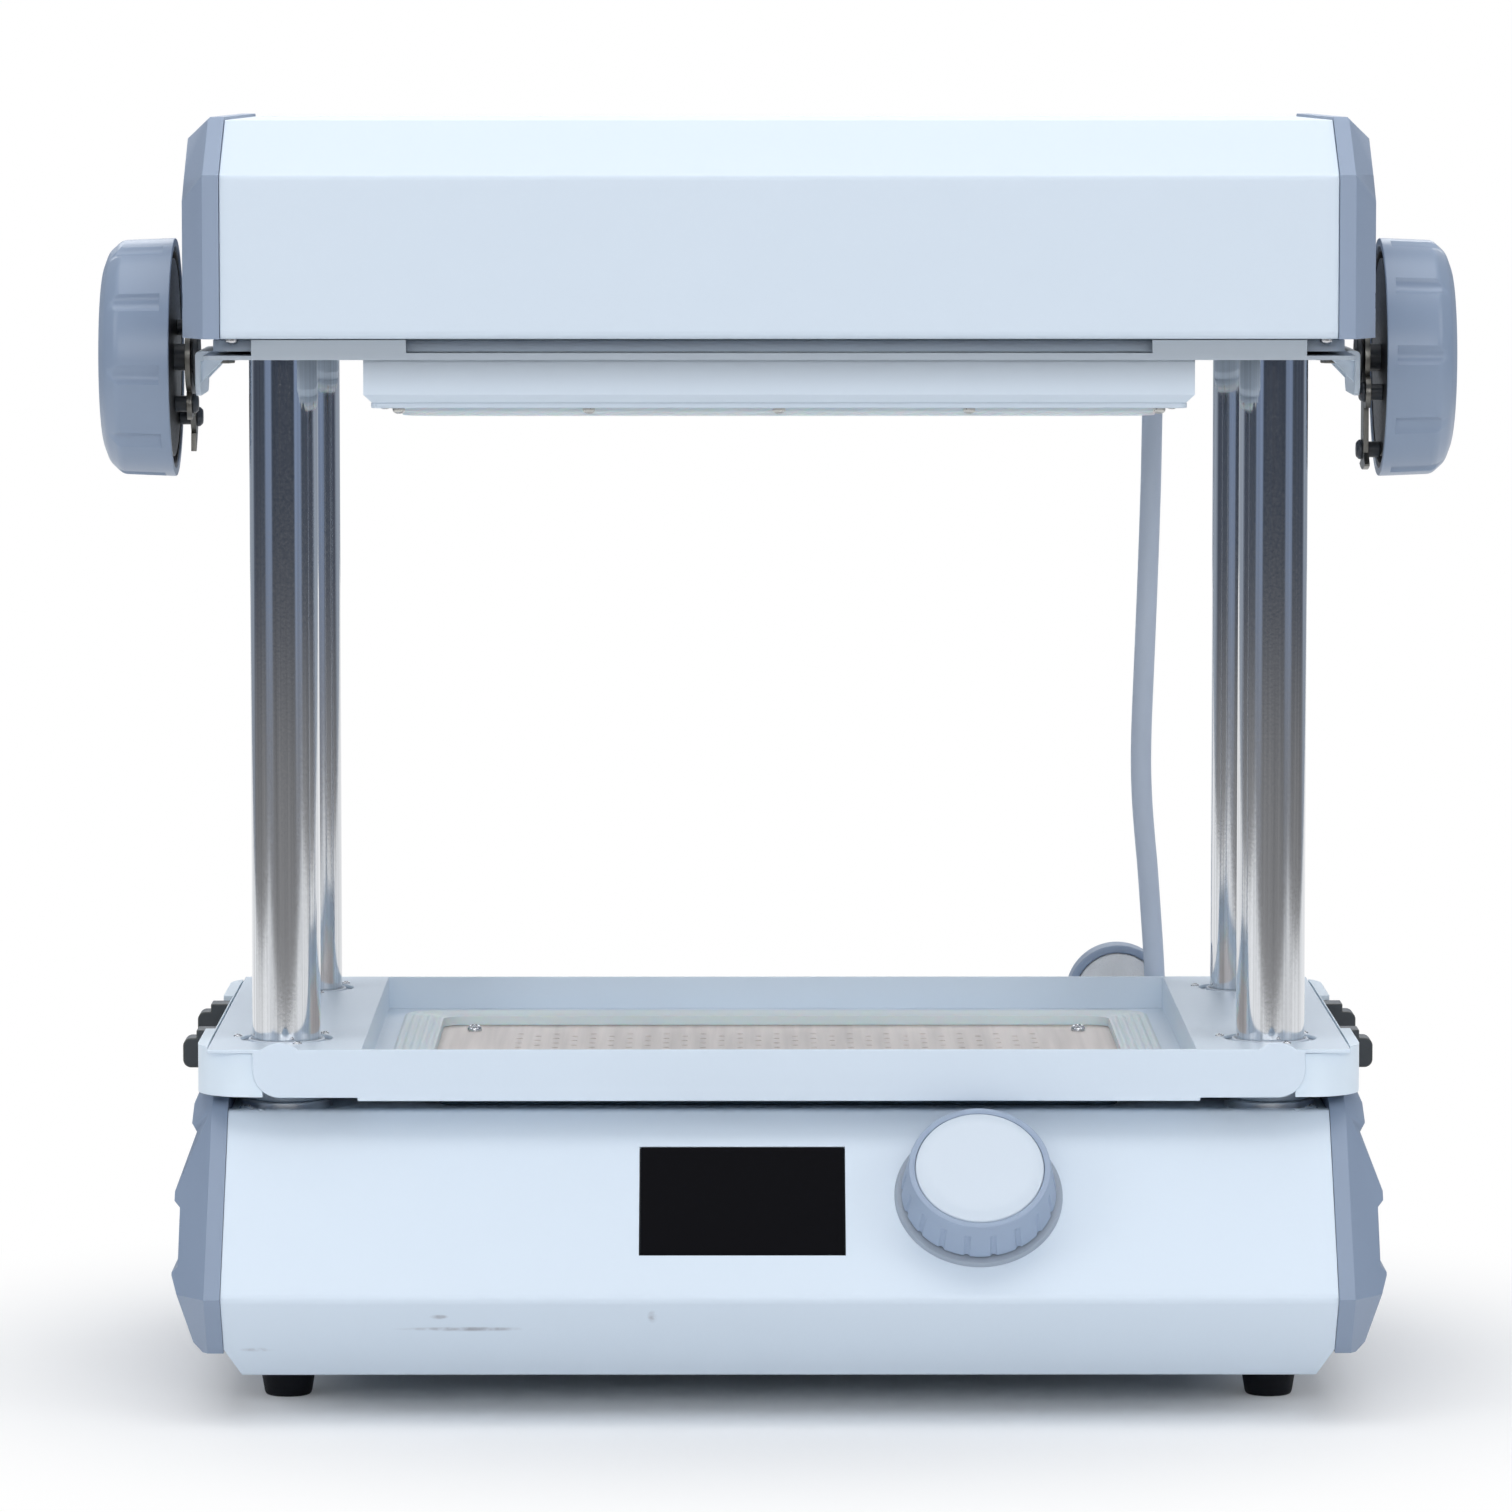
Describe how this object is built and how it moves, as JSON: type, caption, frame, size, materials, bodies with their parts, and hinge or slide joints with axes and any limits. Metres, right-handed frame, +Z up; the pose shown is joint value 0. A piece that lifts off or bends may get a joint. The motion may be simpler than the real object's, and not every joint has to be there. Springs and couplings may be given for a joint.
{
  "type": "hobby vacuum forming machine",
  "caption": "Benchtop vacuum former: a white base with display and knob, four steel columns, a perforated table in a sheet frame, a sliding clamp carriage with side wheels and a heater hood.",
  "frame": {"origin": "centre of the footprint on the ground, below the feet", "axes": "+X to the right of a person facing the control panel, +Y from the panel to the rear wall, +Z up"},
  "size_m": [0.503, 0.3118, 0.4677],
  "materials": {
    "white_paint": "satin powder coat",
    "grey_blue_plastic": "fine moulded grain",
    "column_steel": "ground and polished",
    "plated_steel": "zinc plated",
    "black_plastic": "matte",
    "black_rubber": "matte",
    "silicone": "matte silicone",
    "display_glass": "gloss",
    "white_plastic": "satin",
    "table_laminate": "worn satin",
    "aluminium": "satin",
    "board": "satin",
    "reflector_metal": "bright",
    "ceramic": "satin glaze",
    "cable_sheath": "satin",
    "felt": "felt",
    "red_plastic": "gloss"
  },
  "bodies": {
    "base": {"base_floor": "white_paint", "front_cover": "white_paint", "deck_plate": "white_paint", "rear_panel": "white_paint", "base_cap_left": "grey_blue_plastic", "base_cap_right": "grey_blue_plastic", "feet": "black_rubber", "base_screws": "plated_steel", "display_glass": "display_glass", "display_module": "black_plastic", "knob_ring": "grey_blue_plastic", "knob_encoder": "plated_steel", "forming_table": "table_laminate", "vacuum_box": "aluminium", "vacuum_pump": "black_plastic", "control_board": "board", "power_supply": "aluminium", "column_front_left": "column_steel", "column_front_right": "column_steel", "column_rear_left": "column_steel", "column_rear_right": "column_steel", "column_collars": "plated_steel", "hood_cover": "white_paint", "hood_floor": "white_paint", "hood_cap_left": "grey_blue_plastic", "hood_cap_right": "grey_blue_plastic", "reflector": "reflector_metal", "heating_tubes": "ceramic", "hood_screws": "plated_steel", "heater_cable": "cable_sheath", "cable_glands": "black_plastic", "filter_cup": "grey_blue_plastic", "filter_felt": "felt", "mains_inlet": "black_plastic", "sheet_frame": "white_paint", "frame_skirts": "white_paint", "frame_seal": "silicone", "frame_bushes": "black_plastic", "lock_keepers": "black_plastic"},
    "carriage": {"carriage_plate": "white_paint", "retainer_ring": "aluminium", "clamp_gasket": "silicone", "ring_screws": "plated_steel", "carriage_bushes": "black_plastic", "wheel_brackets": "white_paint", "bracket_nuts": "plated_steel", "wheel_axles": "plated_steel"},
    "right_wheel": {"handwheel_right": "grey_blue_plastic", "wheel_disc_right": "black_plastic", "claw_right": "plated_steel", "claw_posts_right": "plated_steel"},
    "left_wheel": {"handwheel_left": "grey_blue_plastic", "wheel_disc_left": "black_plastic", "claw_left": "plated_steel", "claw_posts_left": "plated_steel"},
    "plunger": {"encoder_plunger": "black_plastic"},
    "knob": {"knob_grip": "grey_blue_plastic", "knob_face": "white_plastic"},
    "switch": {"power_switch": "red_plastic"}
  },
  "joints": [
    {"name": "carriage_slide", "type": "slide", "parent": "base", "child": "carriage", "axis": [0, 0, 1], "range_m": [-0.2391, 0]},
    {"name": "right_wheel_turn", "type": "hinge", "parent": "carriage", "child": "right_wheel", "pos_m": [0.2365, 0.0045, 0.3776], "axis": [-1, 0, 0], "range_deg": [-47.5, 38]},
    {"name": "left_wheel_turn", "type": "hinge", "parent": "carriage", "child": "left_wheel", "pos_m": [-0.2365, 0.0045, 0.3776], "axis": [-1, 0, 0], "range_deg": [0, 85.5]},
    {"name": "knob_push", "type": "slide", "parent": "base", "child": "plunger", "axis": [0, 0.7575, -0.6528], "range_m": [0, 0.0008], "stiffness_N_per_m": 3000, "springref_m": -0.0005},
    {"name": "knob_turn", "type": "hinge", "parent": "plunger", "child": "knob", "pos_m": [0.0719, -0.12365, 0.07997], "axis": [0, -0.7575, 0.6528], "continuous": true},
    {"name": "switch_rock", "type": "hinge", "parent": "base", "child": "switch", "pos_m": [-0.12, 0.1515, 0.06], "axis": [-1, 0, 0], "range_deg": [0, 16]}
  ]
}
